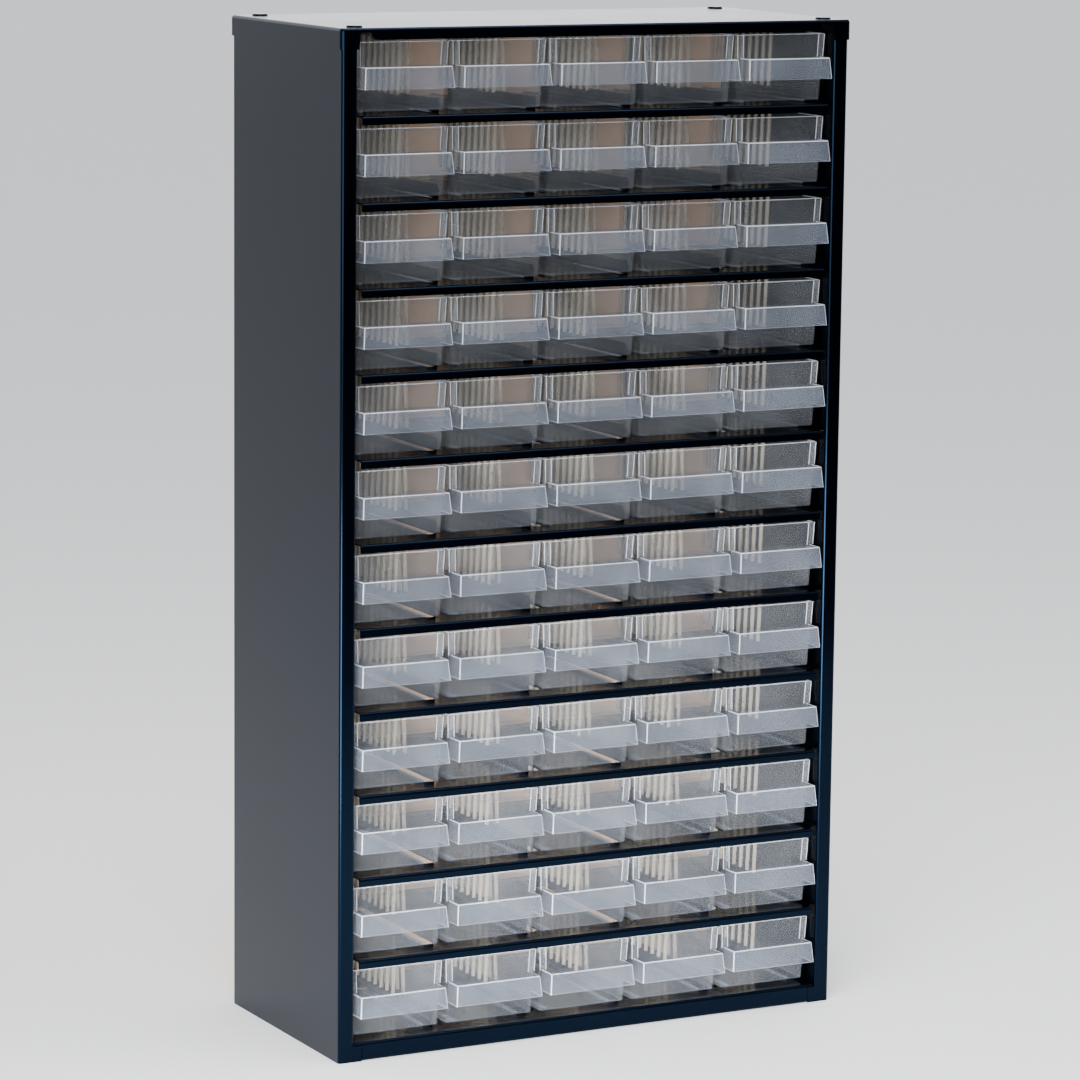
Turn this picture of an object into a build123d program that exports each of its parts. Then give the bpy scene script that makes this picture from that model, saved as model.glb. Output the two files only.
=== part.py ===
from build123d import *
import os

os.makedirs("parts", exist_ok=True)

# A sheet steel small-parts cabinet: twelve rows of five clear plastic drawers.
# Millimetres. +Z is up, the drawer fronts face -Y, and the origin lies on the
# floor at the middle of the whole object, drawer handles included.

# ---- cabinet, overall ----
cabinet_width = 306.0  # over the top cap
cabinet_height = 550.0  # floor to the stacking bumps on the top cap
carcass_depth = 138.0  # front frame to the back of the side panels

# ---- sheet steel ----
sheet = 0.8
bend_radius = 1.2  # at the middle of the sheet
fold_gap = 0.3  # between folded sheets that only pass each other

# ---- side panels ----
flange_width = 9.0  # front frame, seen from the front
return_depth = 8.0  # the frame's inner edge, folded back into the cabinet
rear_flange = 12.0
floor_flange = 12.0
foot_width = 4.5  # how far the frame widens at the floor
foot_height = 8.6

# ---- top cap ----
cap_proud = 1.0  # cap outside the side panels, all round
skirt_height = 11.0
cap_edge_radius = 1.5
skirt_corner_radius = 2.0
cap_leg_width = 10.6  # skirt round each front corner
cap_band_height = 2.4  # plain band across the front, above the lip
cap_lip_height = 6.3
cap_lip_inset = 18.0  # from the cap's side to the start of the lip
cap_lip_chamfer = 2.0
bump_radius = 4.25
bump_height = 1.0
bump_edge_radius = 0.7
bump_inset_side = 12.0
bump_inset_front = 10.0
bump_inset_back = 12.0

# ---- rows and shelves ----
row_count = 12
column_count = 5
grouped_rows = 2  # lowest rows, each one group of drawers
base_top = 10.2  # top of the base panel, which carries the lowest row
top_headroom = 44.65  # top shelf to the underside of the cap
shelf_lip_height = 4.6
shelf_lip_gap = 2.9  # ends of a shelf's lip to the side panels' frame
base_lip_gap = 1.0  # the same on the base panel
shelf_end_flange = 8.0
shelf_rear_flange = 8.0
lip_corner_radius = 1.2
base_hem = 9.0  # base panel's lower edge, folded back along the floor

# ---- guide fins, cut and bent up from each shelf between the drawers ----
fin_height = 6.5
fin_start = 22.0  # behind the front frame
fin_rear_gap = 10.2  # ahead of the back panel
fin_corner_radius = 2.6
slot_relief = 4.0  # slot ahead of the fin's front corner
slot_width = 6.5

# ---- back panel ----
board_thickness = 3.0

# ---- drawers ----
drawer_gap = 2.0  # between the rims of two drawers, where a fin stands
drawer_headroom = 2.55  # rim to the lip of the shelf above
drawer_draft = 1.5  # each side comes in this far from rim to floor
face_lean = 1.7  # the face goes back this far from rim to floor
drawer_setback = 8.4  # top of the drawer face behind the front frame
drawer_rear_gap = 1.0  # drawer to the back panel
drawer_wall = 1.2
drawer_floor = 1.3
drawer_corner_radius = 1.4
drawer_base_radius = 1.1  # round the underside
runner_height = 1.2
runner_width = 2.0
runner_inset = 7.0  # from the side of the drawer's floor
runner_end_gap = 6.0  # runner's ends to the drawer's front and back
seat_gap = 0.3  # drawer runner to shelf

# ---- drawer handle, an open-bottomed box on the drawer face ----
handle_bottom = 12.3  # above the drawer's underside
handle_top = 23.6
handle_reach = 11.4  # forward of the face's upper edge, at the handle's lower edge
handle_lean = 1.2  # its front comes back this far towards the top
handle_inset = 1.6  # its lower edge to the drawer's rim, at each end
handle_flare = 0.9  # each end comes in this far towards the top
handle_wall = 1.2

# ---- label rails on the face, divider ribs inside ----
rail_width = 4.0
rail_proud = 0.7
rib_width = 1.2
rib_depth = 0.6
rib_pitch = 7.5
rib_count = 9
rib_rear_margin = 6.0  # last rib to the inside of the drawer's back
rib_floor_gap = 3.0
rib_rim_gap = 2.5

# ---- worked out from the sizes above ----
half_sheet = sheet / 2
handle_proud = handle_reach - drawer_setback
front_y = -(carcass_depth + cap_proud - handle_proud) / 2
back_y = front_y + carcass_depth
carcass_half_width = cabinet_width / 2 - cap_proud
inside_half_width = carcass_half_width - sheet
opening_half_width = carcass_half_width - flange_width
foot_half_width = opening_half_width - foot_width
cap_top = cabinet_height - bump_height
cap_underside = cap_top - sheet
top_row_z = cap_underside - top_headroom
row_pitch = (top_row_z - base_top) / (row_count - 1)
column_pitch = 2 * opening_half_width / column_count
board_front_y = back_y - sheet - board_thickness
fin_start_y = front_y + fin_start
fin_end_y = board_front_y - fin_rear_gap
frame_depth = return_depth + fold_gap
face_y = front_y + drawer_setback
drawer_width = column_pitch - drawer_gap  # at the rim
drawer_height = row_pitch - shelf_lip_height - drawer_headroom - seat_gap - runner_height
handle_width = drawer_width - 2 * handle_inset  # at its lower edge
drawer_length = board_front_y - drawer_rear_gap - face_y
floor_width = drawer_width - 2 * drawer_draft
floor_length = drawer_length - drawer_draft - face_lean
wall_slope = drawer_draft / drawer_height
face_slope = face_lean / drawer_height
both_sides = (-1, 1)
far = 2 * cabinet_width  # reaches past anything it cuts


def column_x(column):
    return column_pitch * (column - (column_count + 1) / 2)


def drawer_base_z(row):
    return top_row_z - row_pitch * (row - 1) + seat_gap + runner_height


def face_y_at(z):
    return face_lean - face_slope * z


def write_node(part, name):
    part.label = name
    export_step(part, f"parts/{name}.step")


def folded_shelf(top_z, section, lip_gap):
    """A shelf folded from one sheet, its section given from front to back.

    It has an end flange at each side panel, and between each two drawers a fin
    bent up from alternate sides of its slot: left, right, left, right.
    """
    lip_half_width = opening_half_width - lip_gap
    with BuildPart() as shelf:
        with BuildSketch(Plane.YZ.offset(-inside_half_width)):
            with BuildLine():
                FilletPolyline(*section, radius=bend_radius)
            trace(line_width=sheet)
        extrude(amount=2 * inside_half_width)
        corner_width = inside_half_width - lip_half_width
        for side in both_sides:
            # the side panel's folded frame stands in this corner
            with Locations((side * (lip_half_width + corner_width / 2), front_y, top_z)):
                Box(corner_width, 2 * frame_depth, far, mode=Mode.SUBTRACT)
            # the lip's upper corner is rounded off
            with BuildSketch(Plane.XZ.offset(-front_y)):
                half_round = lip_corner_radius / 2
                with Locations((side * (lip_half_width - half_round), top_z - half_round)):
                    Rectangle(lip_corner_radius, lip_corner_radius)
                with Locations((side * (lip_half_width - lip_corner_radius), top_z - lip_corner_radius)):
                    Circle(lip_corner_radius, mode=Mode.SUBTRACT)
            extrude(amount=-bend_radius - half_sheet, mode=Mode.SUBTRACT)
            with Locations((side * inside_half_width, board_front_y, top_z)):
                Box(
                    sheet,
                    board_front_y - front_y - frame_depth,
                    shelf_end_flange,
                    align=(Align.MAX if side > 0 else Align.MIN, Align.MAX, Align.MAX),
                )
        for gap in range(1, column_count):
            fin_x = (column_x(gap) + column_x(gap + 1)) / 2
            slot_side = -1 if gap % 2 else 1
            with Locations((fin_x + slot_side * half_sheet, fin_end_y, top_z)):
                Box(
                    slot_width,
                    fin_end_y - fin_start_y + slot_relief,
                    3 * sheet,
                    align=(Align.MAX if slot_side < 0 else Align.MIN, Align.MAX, Align.CENTER),
                    mode=Mode.SUBTRACT,
                )
            with BuildSketch(Plane.YZ.offset(fin_x - half_sheet)) as fin_side:
                with Locations((fin_start_y, top_z - sheet)):
                    Rectangle(
                        fin_end_y - fin_start_y,
                        fin_height + sheet,
                        align=(Align.MIN, Align.MIN),
                    )
                fillet(fin_side.vertices().group_by(Axis.Y)[-1], radius=fin_corner_radius)
            extrude(amount=sheet)
    return shelf.part


# ---- side panels ----
with BuildPart() as left_side:
    with BuildSketch():
        with BuildLine():
            FilletPolyline(
                (-opening_half_width - half_sheet, front_y + return_depth),
                (-opening_half_width - half_sheet, front_y + half_sheet),
                (-carcass_half_width + half_sheet, front_y + half_sheet),
                (-carcass_half_width + half_sheet, back_y - half_sheet),
                (-carcass_half_width + rear_flange, back_y - half_sheet),
                radius=bend_radius,
            )
        trace(line_width=sheet)
    extrude(amount=cap_underside)
    with Locations((-carcass_half_width + half_sheet, back_y - sheet, 0)):
        Box(
            floor_flange,
            carcass_depth - 2 * sheet,
            sheet,
            align=(Align.MIN, Align.MAX, Align.MIN),
        )
    with Locations((-foot_half_width, front_y, 0)):
        Box(
            foot_width + bend_radius,
            sheet,
            foot_height,
            align=(Align.MAX, Align.MIN, Align.MIN),
        )
write_node(left_side.part, "left_side")

with BuildPart() as right_side:
    mirror(left_side.part, about=Plane.YZ)
write_node(right_side.part, "right_side")

# ---- top cap ----
cap_depth = carcass_depth + 2 * cap_proud
cap_middle_y = (front_y + back_y) / 2
cap_front_y = front_y - cap_proud
with BuildPart() as top_cap:
    with BuildSketch(Plane.XY.offset(cap_top - skirt_height)) as cap_outline:
        with Locations((0, cap_middle_y)):
            Rectangle(cabinet_width, cap_depth)
        fillet(cap_outline.vertices(), radius=cap_edge_radius + sheet)
    extrude(amount=skirt_height)
    fillet(top_cap.faces().sort_by(Axis.Z)[-1].edges(), radius=cap_edge_radius)
    with BuildSketch(Plane.XY.offset(cap_top - skirt_height)) as cap_inside:
        with Locations((0, cap_middle_y)):
            Rectangle(cabinet_width - 2 * sheet, cap_depth - 2 * sheet)
        fillet(cap_inside.vertices(), radius=cap_edge_radius)
    extrude(amount=skirt_height - sheet, mode=Mode.SUBTRACT)
    # the skirt turns round each front corner as a short leg
    with BuildSketch(Plane.XZ.offset(-cap_front_y)) as leg_cut:
        with Locations((0, cap_top - cap_band_height)):
            Rectangle(
                cabinet_width - 2 * cap_leg_width,
                skirt_height,
                align=(Align.CENTER, Align.MAX),
            )
        fillet(leg_cut.vertices().group_by(Axis.Y)[-1], radius=skirt_corner_radius)
    extrude(amount=-2 * sheet, mode=Mode.SUBTRACT)
    # lip behind the band, its lower corners cut off
    with BuildSketch(Plane.XZ.offset(-cap_front_y - sheet)) as cap_lip:
        with Locations((0, cap_underside)):
            Rectangle(
                cabinet_width - 2 * cap_lip_inset,
                cap_lip_height - sheet,
                align=(Align.CENTER, Align.MAX),
            )
        chamfer(cap_lip.vertices().group_by(Axis.Y)[0], length=cap_lip_chamfer)
    extrude(amount=-sheet)
    bump_span_x = cabinet_width / 2 - bump_inset_side
    bump_front_y = cap_front_y + bump_inset_front
    bump_back_y = cap_front_y + cap_depth - bump_inset_back
    with Locations(
        (-bump_span_x, bump_front_y, cap_top),
        (bump_span_x, bump_front_y, cap_top),
        (-bump_span_x, bump_back_y, cap_top),
        (bump_span_x, bump_back_y, cap_top),
    ):
        Cylinder(bump_radius, bump_height, align=(Align.CENTER, Align.CENTER, Align.MIN))
    fillet(top_cap.edges().group_by(Axis.Z)[-1], radius=bump_edge_radius)
write_node(top_cap.part, "top_cap")

# ---- back panel, a board held between the shelves and the rear flanges ----
with BuildPart() as back_panel:
    with Locations((0, board_front_y, sheet)):
        Box(
            2 * (inside_half_width - bend_radius),
            board_thickness,
            cap_underside - sheet,
            align=(Align.CENTER, Align.MIN, Align.MIN),
        )
write_node(back_panel.part, "back_panel")

# ---- base panel, which carries the lowest row ----
base_section = [
    (front_y + base_hem, half_sheet),
    (front_y + half_sheet, half_sheet),
    (front_y + half_sheet, base_top - half_sheet),
    (board_front_y - half_sheet, base_top - half_sheet),
    (board_front_y - half_sheet, sheet),
]
with BuildPart() as base_panel:
    add(folded_shelf(base_top, base_section, base_lip_gap))
    # the frames' feet and floor flanges stand in the lower corners
    foot_room = max(frame_depth, base_hem + fold_gap)
    for side in both_sides:
        with Locations((side * (foot_half_width - fold_gap), front_y, 0)):
            Box(
                far,
                2 * foot_room,
                2 * (foot_height + fold_gap),
                align=(Align.MIN if side > 0 else Align.MAX, Align.CENTER, Align.CENTER),
                mode=Mode.SUBTRACT,
            )
write_node(base_panel.part, "base_panel")

# ---- the eleven shelves above it ----
shelf_section = [
    (front_y + half_sheet, top_row_z - shelf_lip_height),
    (front_y + half_sheet, top_row_z - half_sheet),
    (board_front_y - half_sheet, top_row_z - half_sheet),
    (board_front_y - half_sheet, top_row_z - shelf_rear_flange),
]
top_shelf = folded_shelf(top_row_z, shelf_section, shelf_lip_gap)
with BuildPart() as shelves:
    with Locations(*[(0, 0, -row_pitch * step) for step in range(row_count - 1)]):
        add(top_shelf)
write_node(shelves.part, "shelves")

# ---- one drawer, the top of its face at y = 0 and its underside at z = 0 ----
rim_plane = Plane.XY.offset(drawer_height)
hollow_width = floor_width + 2 * wall_slope * drawer_floor - 2 * drawer_wall
hollow_length = floor_length + (face_slope + wall_slope) * drawer_floor - 2 * drawer_wall
with BuildPart() as drawer:
    with BuildSketch() as floor_outline:
        with Locations((0, face_lean)):
            Rectangle(floor_width, floor_length, align=(Align.CENTER, Align.MIN))
        fillet(floor_outline.vertices(), radius=drawer_corner_radius)
    with BuildSketch(rim_plane) as rim_outline:
        Rectangle(drawer_width, drawer_length, align=(Align.CENTER, Align.MIN))
        fillet(rim_outline.vertices(), radius=drawer_corner_radius)
    loft(ruled=True)
    fillet(drawer.faces().sort_by(Axis.Z)[0].edges(), radius=drawer_base_radius)
    with BuildSketch(Plane.XY.offset(drawer_floor)):
        with Locations((0, face_y_at(drawer_floor) + drawer_wall)):
            Rectangle(hollow_width, hollow_length, align=(Align.CENTER, Align.MIN))
    with BuildSketch(rim_plane):
        with Locations((0, drawer_wall)):
            Rectangle(
                drawer_width - 2 * drawer_wall,
                drawer_length - 2 * drawer_wall,
                align=(Align.CENTER, Align.MIN),
            )
    loft(ruled=True, mode=Mode.SUBTRACT)
    # handle, rooted in the middle of the face's wall, then hollowed from below
    handle_front_y = -handle_reach
    for z, width, front in (
        (handle_bottom, handle_width, handle_front_y),
        (handle_top, handle_width - 2 * handle_flare, handle_front_y + handle_lean),
    ):
        root_y = face_y_at(z) + drawer_wall / 2
        with BuildSketch(Plane.XY.offset(z)):
            with Locations((0, root_y)):
                Rectangle(width, root_y - front, align=(Align.CENTER, Align.MAX))
    loft(ruled=True)
    ceiling_z = handle_top - handle_wall
    ceiling_share = (ceiling_z - handle_bottom) / (handle_top - handle_bottom)
    for z, width, front in (
        (handle_bottom, handle_width, handle_front_y),
        (
            ceiling_z,
            handle_width - 2 * handle_flare * ceiling_share,
            handle_front_y + handle_lean * ceiling_share,
        ),
    ):
        with BuildSketch(Plane.XY.offset(z)):
            with Locations((0, face_y_at(z))):
                Rectangle(
                    width - 2 * handle_wall,
                    face_y_at(z) - front - handle_wall,
                    align=(Align.CENTER, Align.MAX),
                )
    loft(ruled=True, mode=Mode.SUBTRACT)
    # label rails, upright at both sides of the face above the handle
    rail_foot = drawer_width / 2 - wall_slope * (drawer_height - handle_top)
    rail_rim = drawer_width / 2
    face_plane = Plane(origin=(0, face_lean, 0), x_dir=(1, 0, 0), z_dir=(0, -1, -face_slope))
    up_face = (1 + face_slope**2) ** 0.5  # length along the face for each unit of height
    for side in both_sides:
        with BuildSketch(face_plane):
            with BuildLine():
                Polyline(
                    (side * rail_foot, handle_top * up_face),
                    (side * rail_rim, drawer_height * up_face),
                    (side * (rail_rim - rail_width), drawer_height * up_face),
                    (side * (rail_foot - rail_width), handle_top * up_face),
                    close=True,
                )
            make_face()
        extrude(amount=rail_proud)
    # runners under the floor
    for side in both_sides:
        with Locations((side * (floor_width / 2 - runner_inset), face_lean + runner_end_gap, 0)):
            Box(
                runner_width,
                floor_length - 2 * runner_end_gap,
                runner_height,
                align=(Align.CENTER, Align.MIN, Align.MAX),
            )
    # upright ribs on both side walls, which hold loose dividers between them
    rib_foot_z = drawer_floor + rib_floor_gap
    rib_head_z = drawer_height - rib_rim_gap
    last_rib_y = face_lean + floor_length - drawer_wall - rib_rear_margin
    for rib in range(rib_count):
        for side in both_sides:
            with BuildSketch(Plane.XZ.offset(-last_rib_y + rib * rib_pitch)):
                with BuildLine():
                    foot_x = floor_width / 2 + wall_slope * rib_foot_z - drawer_wall
                    head_x = floor_width / 2 + wall_slope * rib_head_z - drawer_wall
                    Polyline(
                        (side * (foot_x + rib_depth), rib_foot_z),
                        (side * (head_x + rib_depth), rib_head_z),
                        (side * (head_x - rib_depth), rib_head_z),
                        (side * (foot_x - rib_depth), rib_foot_z),
                        close=True,
                    )
                make_face()
            extrude(amount=rib_width)

# ---- the sixty drawers ----
for row in range(1, row_count + 1):
    places = [(column_x(column), face_y, drawer_base_z(row)) for column in range(1, column_count + 1)]
    if row > row_count - grouped_rows:
        with BuildPart() as drawer_row:
            with Locations(*places):
                add(drawer.part)
        write_node(drawer_row.part, f"drawer_row_{row:02d}")
        continue
    for column, place in enumerate(places, start=1):
        with BuildPart() as single_drawer:
            with Locations(place):
                add(drawer.part)
        write_node(single_drawer.part, f"drawer_{row:02d}_{column}")
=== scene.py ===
import math

import bmesh
import bpy
from mathutils import Matrix, Vector


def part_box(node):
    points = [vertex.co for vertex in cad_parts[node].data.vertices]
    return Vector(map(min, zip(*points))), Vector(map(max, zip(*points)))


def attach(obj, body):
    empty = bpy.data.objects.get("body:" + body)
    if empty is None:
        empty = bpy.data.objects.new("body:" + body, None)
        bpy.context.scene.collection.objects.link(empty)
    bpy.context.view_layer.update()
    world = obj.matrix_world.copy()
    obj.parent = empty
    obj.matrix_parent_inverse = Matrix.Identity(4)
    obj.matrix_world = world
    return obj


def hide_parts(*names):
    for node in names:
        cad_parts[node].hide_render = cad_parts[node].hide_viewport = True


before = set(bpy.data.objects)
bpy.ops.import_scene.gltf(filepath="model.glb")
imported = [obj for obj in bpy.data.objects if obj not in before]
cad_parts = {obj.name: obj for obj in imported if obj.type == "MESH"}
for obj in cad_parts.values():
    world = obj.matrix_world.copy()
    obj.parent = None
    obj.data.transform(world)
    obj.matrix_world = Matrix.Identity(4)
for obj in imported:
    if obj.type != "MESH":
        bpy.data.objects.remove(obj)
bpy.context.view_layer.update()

mm = 0.001
print("frame loaded:", len(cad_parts), "nodes")


class Signal:
    # a socket in a material, so that patterns are written as plain sums
    def __init__(self, paint, socket):
        self.paint = paint
        self.socket = socket

    def math(self, operation, *others):
        return self.paint.node("ShaderNodeMath", {"operation": operation}, [self, *others])

    def __add__(self, other):
        return self.math("ADD", other)

    __radd__ = __add__

    def __mul__(self, other):
        return self.math("MULTIPLY", other)

    __rmul__ = __mul__

    def __sub__(self, other):
        return self.math("SUBTRACT", other)

    def __rsub__(self, other):
        return self.paint.node("ShaderNodeMath", {"operation": "SUBTRACT"}, [other, self])

    def clamp(self):
        return self.paint.node("ShaderNodeClamp", {}, [self])

    def steps(self, low, high):
        # 0 below low, 1 above high, smooth between
        settings = {"interpolation_type": "SMOOTHSTEP"}
        inputs = {"Value": self, "From Min": low, "From Max": high}
        return self.paint.node("ShaderNodeMapRange", settings, inputs)


class Paint:
    # one material and its node tree
    def __init__(self, name):
        self.material = bpy.data.materials.new(name)
        self.material.use_nodes = True
        self.tree = self.material.node_tree
        self.shader = self.tree.nodes["Principled BSDF"]

    def node(self, kind, settings, inputs, output=0):
        made = self.tree.nodes.new(kind)
        for key, value in settings.items():
            setattr(made, key, value)
        pairs = inputs.items() if isinstance(inputs, dict) else enumerate(inputs)
        for key, value in pairs:
            self.plug(made.inputs[key], value)
        return Signal(self, made.outputs[output])

    def plug(self, socket, value):
        if isinstance(value, Signal):
            self.tree.links.new(value.socket, socket)
        else:
            socket.default_value = value

    def place(self, stretch):
        where = self.node("ShaderNodeTexCoord", {}, {}, "Object")
        return self.node("ShaderNodeMapping", {}, {"Vector": where, "Scale": stretch})

    def grain(self, size, detail=3.0, stretch=(1, 1, 1), roughness=0.5):
        inputs = {"Vector": self.place(stretch), "Scale": 1 / size, "Detail": detail, "Roughness": roughness}
        return self.node("ShaderNodeTexNoise", {}, inputs, "Fac")

    def blend(self, amount, first, second):
        made = self.tree.nodes.new("ShaderNodeMix")
        made.data_type = "RGBA"
        self.plug(made.inputs[0], amount)
        self.plug(made.inputs[6], first)
        self.plug(made.inputs[7], second)
        return Signal(self, made.outputs[2])

    def bump(self, height, distance):
        normal = self.node("ShaderNodeBump", {}, {"Height": height, "Distance": distance})
        self.plug(self.shader.inputs["Normal"], normal)

    def set(self, **values):
        for key, value in values.items():
            self.plug(self.shader.inputs[key.replace("_", " ")], value)
        return self


steelPaint = {
    "deep": (0.0001, 0.0002, 0.0007, 1),
    "worn": (0.0001, 0.0005, 0.0016, 1),
    "gleam": (0.20, 0.48, 1.0, 1),  # the paint's own blue in what it mirrors
    "shine": 0.18,
    "roughness": 0.17,
    "cloud": 90 * mm,  # size of the patches where the tone and the gloss change
    "cloudGloss": 0.10,
    "speck": 0.9 * mm,
    "peel": 2.2 * mm,  # size of the paint's ripples
    "peelDepth": 0.006 * mm,
}


def makeSteelPaint():
    paint = Paint("navyPaint")
    cloud = paint.grain(steelPaint["cloud"], 4.0)
    speck = paint.grain(steelPaint["speck"], 2.0)
    wear = (cloud * 0.7 + speck * 0.3).steps(0.35, 0.7)
    paint.set(
        Base_Color=paint.blend(wear, steelPaint["deep"], steelPaint["worn"]),
        Roughness=steelPaint["roughness"] + (cloud - 0.5) * steelPaint["cloudGloss"],
        Specular_IOR_Level=steelPaint["shine"],
        Specular_Tint=steelPaint["gleam"],
    )
    paint.bump(paint.grain(steelPaint["peel"], 2.0), steelPaint["peelDepth"])
    return paint.material


board = {
    "light": (0.96, 0.63, 0.36, 1),
    "dark": (0.78, 0.45, 0.24, 1),
    "roughness": 0.62,
    "cloud": 60 * mm,
    "fibre": 1.4 * mm,
    "fibreDepth": 0.05 * mm,
}


def makeBoard():
    paint = Paint("tanHardboard")
    cloud = paint.grain(board["cloud"], 4.0)
    fibre = paint.grain(board["fibre"], 6.0, (1, 1, 0.35), 0.7)
    mottle = (cloud * 0.5 + fibre * 0.7 - 0.1).clamp()
    paint.set(
        Base_Color=paint.blend(mottle, board["dark"], board["light"]),
        Roughness=board["roughness"] + fibre * 0.2,
    )
    paint.bump(fibre, board["fibreDepth"])
    return paint.material


plastic = {
    "wall": {"alpha": 0.075, "tone": (0.48, 0.52, 0.58), "roughness": 0.30, "gloss": 0.0},
    # the edge finish is lighter and far more opaque than the wall: partly the plastic seen edge-on, partly a
    # painted highlight along the rims, bevels, rails and handle folds
    "edge": {"alpha": 0.70, "tone": (0.78, 0.82, 0.90), "roughness": 0.20, "gloss": 0.5},
    "handle": {"alpha": 0.14, "tone": (0.38, 0.44, 0.56), "roughness": 0.24, "gloss": 0.15},
    "rib": {"alpha": 0.36, "tone": (0.74, 0.66, 0.54), "roughness": 0.30, "gloss": 0.0},
    "shade": 0.84,  # the thinner places of a wall are this much darker
    "swirl": 0.06,  # how much the cloudiness changes along a wall
    "flow": 34 * mm,
    "mist": 5 * mm,
    "mistDepth": 0.004 * mm,
    "refraction": 1.49,
}


def makePlastic(part):
    look = plastic[part]
    paint = Paint(f"clearPlastic_{part}")
    flow = paint.grain(plastic["flow"], 2.0, (1, 0.4, 1))
    mist = paint.grain(plastic["mist"], 2.0, (1, 1, 0.25))
    cloudy = (flow - 0.5) + (mist - 0.5) * 0.5
    milk = (*look["tone"], 1)
    thin = (*[channel * plastic["shade"] for channel in look["tone"]], 1)
    paint.set(
        Base_Color=paint.blend(flow.steps(0.3, 0.7), thin, milk),
        Roughness=look["roughness"] + (mist - 0.5) * 0.08,
        Alpha=(look["alpha"] + cloudy * plastic["swirl"]).clamp(),
        Specular_IOR_Level=look["gloss"],
        IOR=plastic["refraction"],
    )
    paint.bump(mist, plastic["mistDepth"])
    return paint.material


navyPaint = makeSteelPaint()
tanBoard = makeBoard()
clearPlastic = [makePlastic(part) for part in ("wall", "edge", "handle", "rib")]
print("finishes made")


for nodeName in ("left_side", "right_side", "top_cap", "base_panel", "shelves", "back_panel"):
    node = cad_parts[nodeName]
    for slot in node.material_slots:
        slot.material = tanBoard if nodeName == "back_panel" else navyPaint
print("steel body painted")


drawer = {
    "width": 55.2 * mm,
    "height": 36.2 * mm,
    "draft": 1.5 * mm,  # the sides come in this far from rim to floor
    "lean": 1.7 * mm,  # the face goes back this far from rim to floor
    "wall": 1.2 * mm,
    "floor": 1.3 * mm,
    "corner": 1.4 * mm,
    "baseRadius": 1.1 * mm,
    "rimSoft": 0.28 * mm,
    "rimDeep": 0.6 * mm,
    "runnerHeight": 1.2 * mm,
    "runnerWidth": 2.0 * mm,
    "runnerInset": 7.0 * mm,
    "runnerEnd": 6.0 * mm,
    "runnerSoft": 0.4 * mm,
    "handleBottom": 12.3 * mm,
    "handleTop": 23.6 * mm,
    "handleReach": 11.4 * mm,
    "handleLean": 1.2 * mm,
    "handleWidth": 52.0 * mm,
    "handleFlare": 0.9 * mm,
    "handleWall": 1.1 * mm,
    "handleSoft": 0.45 * mm,
    "handleSeat": 0.3 * mm,  # the handle's rear edge goes this far into the face
    "railWidth": 4.0 * mm,
    "railProud": 0.7 * mm,
    "railInset": 0.15 * mm,
    "railDrop": 0.25 * mm,
    "railSoft": 0.2 * mm,
    "ribWidth": 1.2 * mm,
    "ribDepth": 0.6 * mm,
    "ribPitch": 7.5 * mm,
    "ribCount": 9,
    "ribRear": 6.0 * mm,
    "ribFloorGap": 3.0 * mm,
    "ribRimGap": 2.5 * mm,
    "seat": 0.1 * mm,  # ribs and runners go this far into their wall
    "sharpAngle": 28,  # edges that turn more than this stay crisp
}
# the edge slot carries a painted highlight as well as the thicker look of the plastic seen edge-on
wallSlot, edgeWithPaintedHighlightSlot, handleSlot, ribSlot = 0, 1, 2, 3


def block(mesh, low, high, slotIndex):
    made = bmesh.ops.create_cube(mesh, size=1.0)["verts"]
    size = Vector(high) - Vector(low)
    bmesh.ops.scale(mesh, vec=size, verts=made)
    bmesh.ops.translate(mesh, vec=(Vector(low) + Vector(high)) / 2, verts=made)
    for face in {face for vert in made for face in vert.link_faces}:
        face.material_index = slotIndex
    return made


def edgesOf(verts):
    return list({edge for vert in verts for edge in vert.link_edges})


def soften(mesh, edges, radius, segments, slotIndex=None):
    made = bmesh.ops.bevel(
        mesh, geom=edges, offset=radius, offset_type="OFFSET", affect="EDGES",
        segments=segments, profile=0.5, material=-1, clamp_overlap=True,
    )
    if slotIndex is not None:
        for face in made["faces"]:
            face.material_index = slotIndex


def isLevel(edge, height):
    return all(abs(vert.co.z - height) < 1e-6 for vert in edge.verts)


def isUpright(edge):
    first, second = edge.verts
    return abs(first.co.z - second.co.z) > 0.6 * edge.calc_length()


def faceY(z):
    return drawer["lean"] * (1 - z / drawer["height"])


def makeTub(length):
    # the drawer's floor and walls, drafted, with rounded corners, and the thickness shown at the rim
    mesh = bmesh.new()
    height, wall = drawer["height"], drawer["wall"]
    verts = block(mesh, (-drawer["width"] / 2, 0, 0), (drawer["width"] / 2, length, height), wallSlot)
    for vert in verts:
        if vert.co.z < height / 2:
            vert.co.x -= math.copysign(drawer["draft"], vert.co.x)
            vert.co.y += drawer["lean"] if vert.co.y < length / 2 else -drawer["draft"]
    soften(mesh, [edge for edge in mesh.edges if isUpright(edge)], drawer["corner"], 4)
    soften(mesh, [edge for edge in mesh.edges if isLevel(edge, 0)], drawer["baseRadius"], 3, handleSlot)
    mesh.faces.ensure_lookup_table()
    rim = max(mesh.faces, key=lambda face: face.calc_center_median().z)
    bmesh.ops.inset_region(mesh, faces=[rim], thickness=wall, use_even_offset=True)
    for face in {face for edge in rim.edges for face in edge.link_faces} - {rim}:
        face.material_index = handleSlot
    hollow = bmesh.ops.extrude_discrete_faces(mesh, faces=[rim])["faces"][0]
    for vert in hollow.verts:
        vert.co.z -= drawer["rimDeep"]
    for face in {face for edge in hollow.edges for face in edge.link_faces}:
        face.material_index = handleSlot
    bmesh.ops.delete(mesh, geom=[hollow], context="FACES_ONLY")
    rimEdges = [edge for edge in mesh.edges if isLevel(edge, height)]
    # the rim's bevels take the edge finish, a painted highlight along the rim
    soften(mesh, [edge for edge in rimEdges if edge.calc_face_angle(0) > 1.0], drawer["rimSoft"], 2, edgeWithPaintedHighlightSlot)
    return mesh


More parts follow.
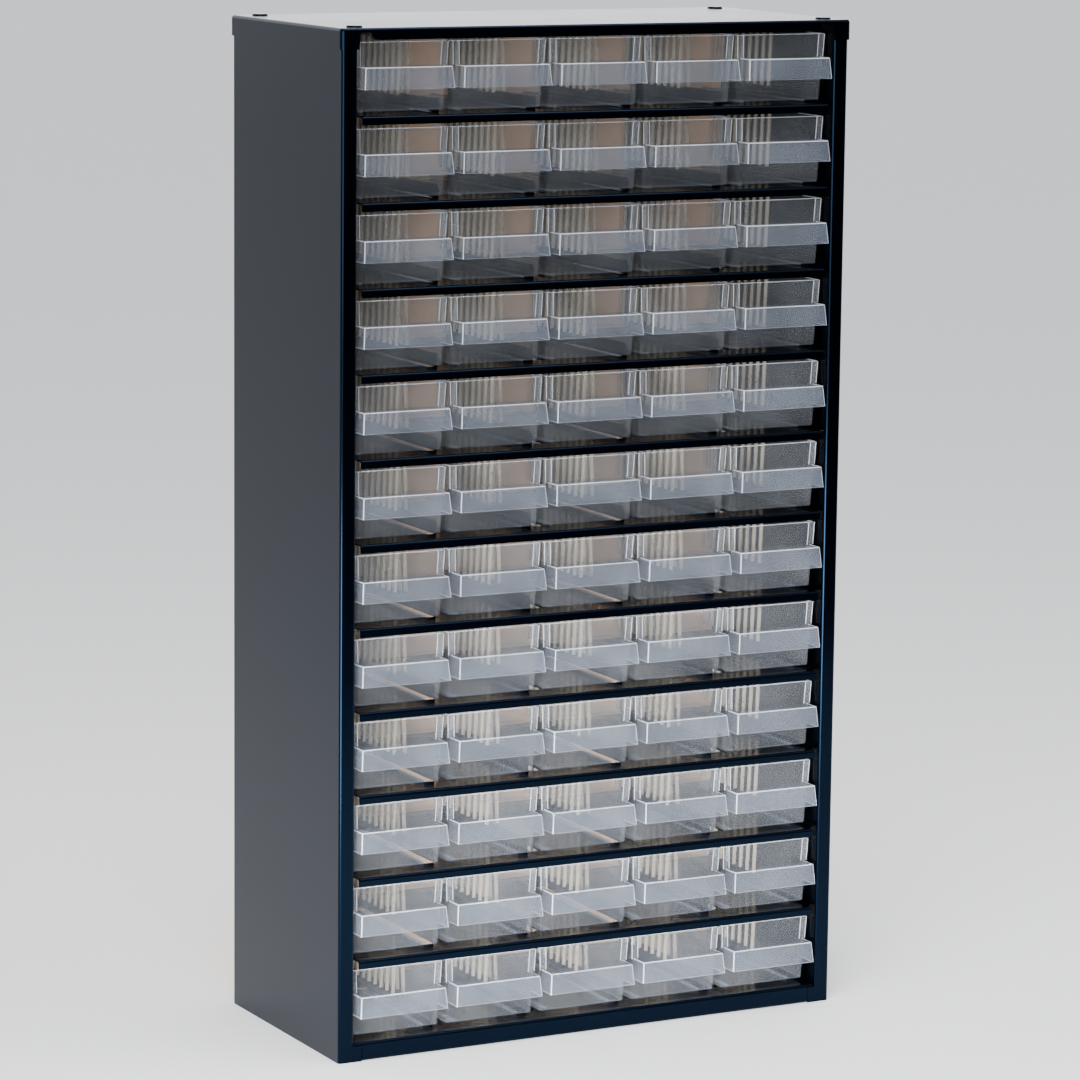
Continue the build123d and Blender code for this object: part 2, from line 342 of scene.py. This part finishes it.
def addHandle(mesh):
    # an open-bottomed box in front of the face, its ends a little flared
    bottom, top = drawer["handleBottom"], drawer["handleTop"]
    reach, half = drawer["handleReach"], drawer["handleWidth"] / 2
    verts = block(mesh, (-half, -reach, bottom), (half, 0, top), handleSlot)
    for vert in verts:
        upper = vert.co.z > (bottom + top) / 2
        if vert.co.y > -reach / 2:
            vert.co.y = faceY(vert.co.z) + drawer["handleSeat"]
        elif upper:
            vert.co.y += drawer["handleLean"]
        if upper:
            vert.co.x -= math.copysign(drawer["handleFlare"], vert.co.x)
    faces = list({face for vert in verts for face in vert.link_faces})
    for face in faces:
        face.normal_update()
    back = [face for face in faces if face.normal.y > 0.9]
    under = [face for face in faces if face.normal.z < -0.9]
    bmesh.ops.delete(mesh, geom=back, context="FACES_ONLY")
    kept = [face for face in faces if face.is_valid and face not in under]
    folds = [edge for edge in {edge for face in kept for edge in face.edges}
             if len(edge.link_faces) == 2 and not isLevel(edge, bottom)]
    soften(mesh, folds, drawer["handleSoft"], 3, edgeWithPaintedHighlightSlot)
    opening = [face for face in mesh.faces
               if face.normal.z < -0.9 and abs(face.calc_center_median().z - bottom) < 1e-5]
    bmesh.ops.inset_region(mesh, faces=opening, thickness=drawer["handleWall"], use_even_offset=True)
    for face in {face for edge in opening[0].edges for face in edge.link_faces} - set(opening):
        face.material_index = edgeWithPaintedHighlightSlot
    bmesh.ops.delete(mesh, geom=opening, context="FACES_ONLY")


def addRails(mesh):
    # raised label rails at both sides of the face, above the handle
    low, high = drawer["handleTop"], drawer["height"]
    slope = drawer["draft"] / drawer["height"]
    for side in (-1, 1):
        outer = drawer["width"] / 2 - drawer["railInset"]
        inner = outer - drawer["railWidth"]
        verts = block(mesh, (min(side * outer, side * inner), -drawer["railProud"], low),
                      (max(side * outer, side * inner), 0, high - drawer["railDrop"]), wallSlot)
        for vert in verts:
            vert.co.x -= side * slope * (high - vert.co.z)
            vert.co.y += faceY(vert.co.z)
        upright = [edge for edge in edgesOf(verts) if isUpright(edge)]
        soften(mesh, upright, drawer["railSoft"], 1, edgeWithPaintedHighlightSlot)


def addRibs(mesh, length):
    # upright ribs on the side walls, where dividers drop in
    slope = drawer["draft"] / drawer["height"]
    footZ = drawer["floor"] + drawer["ribFloorGap"]
    headZ = drawer["height"] - drawer["ribRimGap"]
    lastY = length - drawer["draft"] - drawer["wall"] - drawer["ribRear"]
    for rib in range(drawer["ribCount"]):
        startY = lastY - rib * drawer["ribPitch"] - drawer["ribWidth"]
        for side in (-1, 1):
            wallX = drawer["width"] / 2 - drawer["seat"]
            innerX = drawer["width"] / 2 - drawer["wall"] - drawer["ribDepth"]
            low = (min(side * wallX, side * innerX), startY, footZ)
            high = (max(side * wallX, side * innerX), startY + drawer["ribWidth"], headZ)
            verts = block(mesh, low, high, ribSlot)
            buried = [face for face in {face for vert in verts for face in vert.link_faces}
                      if all(abs(vert.co.x - side * wallX) < 1e-6 for vert in face.verts)]
            bmesh.ops.delete(mesh, geom=buried, context="FACES_ONLY")
            for vert in verts:
                vert.co.x -= side * slope * (drawer["height"] - vert.co.z)


def addRunners(mesh, length):
    # two low runners under the floor, which the drawer slides on
    floorHalf = drawer["width"] / 2 - drawer["draft"]
    half, foot = drawer["runnerWidth"] / 2, -drawer["runnerHeight"]
    front = drawer["lean"] + drawer["runnerEnd"]
    back = length - drawer["draft"] - drawer["runnerEnd"]
    for side in (-1, 1):
        middle = side * (floorHalf - drawer["runnerInset"])
        verts = block(mesh, (middle - half, front, foot), (middle + half, back, drawer["seat"]), handleSlot)
        soften(mesh, [edge for edge in edgesOf(verts) if isLevel(edge, foot)], drawer["runnerSoft"], 2)


def makeDrawer(length):
    mesh = makeTub(length)
    addHandle(mesh)
    addRails(mesh)
    addRibs(mesh, length)
    addRunners(mesh, length)
    return mesh


def placeDrawer(master, name, origin, body, nodeName):
    data = master.copy()
    data.name = name
    data.transform(Matrix.Translation(origin))
    piece = bpy.data.objects.new(name, data)
    bpy.context.scene.collection.objects.link(piece)
    for polygon in data.polygons:
        polygon.use_smooth = True
    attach(piece, body)
    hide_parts(nodeName)
    return piece


firstLow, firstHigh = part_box("drawer_01_1")
drawerLength = firstHigh[1] - firstLow[1] - drawer["handleReach"]
drawerMesh = makeDrawer(drawerLength)
drawerData = bpy.data.meshes.new("drawerMaster")
drawerMesh.to_mesh(drawerData)
drawerMesh.free()
for finish in clearPlastic:
    drawerData.materials.append(finish)
drawerData.set_sharp_from_angle(angle=math.radians(drawer["sharpAngle"]))
print("drawer shaped:", len(drawerData.polygons), "faces")

columns = 5
for nodeName in sorted(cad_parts):
    if not nodeName.startswith("drawer_"):
        continue
    low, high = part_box(nodeName)
    inRow = nodeName.startswith("drawer_row")
    count = columns if inRow else 1
    step = (high[0] - low[0] - drawer["width"]) / (count - 1) if inRow else 0
    for column in range(count):
        origin = Vector((
            low[0] + drawer["width"] / 2 + column * step,
            low[1] + drawer["handleReach"],
            low[2] + drawer["runnerHeight"],
        ))
        pieceName = f"plastic_{nodeName}_{column + 1}" if inRow else f"plastic_{nodeName}"
        placeDrawer(drawerData, pieceName, origin, f"{nodeName}_body", nodeName)
bpy.data.meshes.remove(drawerData)
print("drawers placed")


studio = {
    "floorTone": (0.93, 0.935, 0.94, 1),
    "floorFront": -0.9,  # the paper ends here, so that the front reflects the dim room past it
    "floorBack": 30.0,
    "floorHalf": 14.0,
    "above": (0.95, 0.97, 1.0, 1),
    "back": (2.3, 2.33, 2.4, 1),
    "front": (0.09, 0.095, 0.11, 1),
    "pit": (0.01, 0.012, 0.016, 1),
    "skyStrength": 1.0,
    "skyRamps": (  # along which axis, from and to which height, and the tones at both ends
        ("Y", -0.2, 0.6, "front", "back"),
        ("Z", 0.25, 0.6, None, "above"),
        ("Z", -0.04, 0.0, "pit", None),
    ),
}


def makeFloor():
    mesh = bmesh.new()
    bmesh.ops.create_grid(mesh, x_segments=1, y_segments=1, size=0.5)
    depth = studio["floorBack"] - studio["floorFront"]
    bmesh.ops.scale(mesh, vec=(2 * studio["floorHalf"], depth, 1), verts=mesh.verts)
    bmesh.ops.translate(mesh, vec=(0, studio["floorFront"] + depth / 2, 0), verts=mesh.verts)
    data = bpy.data.meshes.new("studioFloor")
    mesh.to_mesh(data)
    mesh.free()
    floor = bpy.data.objects.new("studioFloor", data)
    bpy.context.scene.collection.objects.link(floor)
    paint = Paint("studioFloorPaper")
    paint.set(Base_Color=studio["floorTone"], Roughness=0.9)
    data.materials.append(paint.material)


def addLamp(name, size, power, place, target, spread=180):
    light = bpy.data.lights.new(name, "AREA")
    light.shape = "RECTANGLE"
    light.size, light.size_y = size
    light.energy = power
    light.spread = math.radians(spread)
    lamp = bpy.data.objects.new(name, light)
    lamp.location = place
    lamp.visible_camera = False
    lamp.rotation_euler = (Vector(target) - Vector(place)).to_track_quat("-Z", "Y").to_euler()
    bpy.context.scene.collection.objects.link(lamp)


def makeSky():
    # bright behind the object and overhead, dim in front, dark below the horizon
    world = bpy.data.worlds.new("studioSky")
    world.use_nodes = True
    tree = world.node_tree
    where = tree.nodes.new("ShaderNodeTexCoord")
    split = tree.nodes.new("ShaderNodeSeparateXYZ")
    tree.links.new(where.outputs["Generated"], split.inputs[0])
    background = tree.nodes["Background"]
    tone = None
    for axis, low, high, first, second in studio["skyRamps"]:
        ramp = tree.nodes.new("ShaderNodeMapRange")
        ramp.interpolation_type = "SMOOTHSTEP"
        ramp.inputs["From Min"].default_value = low
        ramp.inputs["From Max"].default_value = high
        tree.links.new(split.outputs[axis], ramp.inputs["Value"])
        mixed = tree.nodes.new("ShaderNodeMix")
        mixed.data_type = "RGBA"
        tree.links.new(ramp.outputs[0], mixed.inputs[0])
        for key, socket in ((first, mixed.inputs[6]), (second, mixed.inputs[7])):
            if key:
                socket.default_value = studio[key]
            else:
                tree.links.new(tone, socket)
        tone = mixed.outputs[2]
    tree.links.new(tone, background.inputs["Color"])
    background.inputs["Strength"].default_value = studio["skyStrength"]
    bpy.context.scene.world = world


makeFloor()
makeSky()
addLamp("softTop", (1.4, 1.0), 26, (0.05, -0.45, 1.7), (0.0, -0.3, 0.0))
addLamp("softCamera", (2.4, 0.9), 64, (-1.5, -2.1, 0.55), (0.0, 0.0, 0.25))
addLamp("softLow", (0.7, 0.22), 4.5, (-0.40, -0.62, 0.09), (0.08, -0.07, 0.04), 60)
print("studio lit")


cameraFit = {
    "place": (-1.16720, -2.21595, 0.67894),
    "yaw": 27.810,
    "pitch": 9.444,
    "roll": 0.617,
    "lens": 153.58,
}


def makeCamera():
    yaw, pitch, roll = (math.radians(cameraFit[key]) for key in ("yaw", "pitch", "roll"))
    forward = Vector((math.sin(yaw) * math.cos(pitch), math.cos(yaw) * math.cos(pitch), -math.sin(pitch)))
    level = Vector((math.cos(yaw), -math.sin(yaw), 0))
    rise = level.cross(forward)
    right = math.cos(roll) * level + math.sin(roll) * rise
    up = -math.sin(roll) * level + math.cos(roll) * rise
    lens = bpy.data.cameras.new("photoView")
    lens.lens = cameraFit["lens"]
    lens.sensor_width = 36
    lens.clip_start = 0.01
    camera = bpy.data.objects.new("photoView", lens)
    turn = Matrix((right, up, -forward)).transposed()
    camera.matrix_world = Matrix.Translation(cameraFit["place"]) @ turn.to_4x4()
    bpy.context.scene.collection.objects.link(camera)
    bpy.context.scene.camera = camera


makeCamera()
print("camera set")
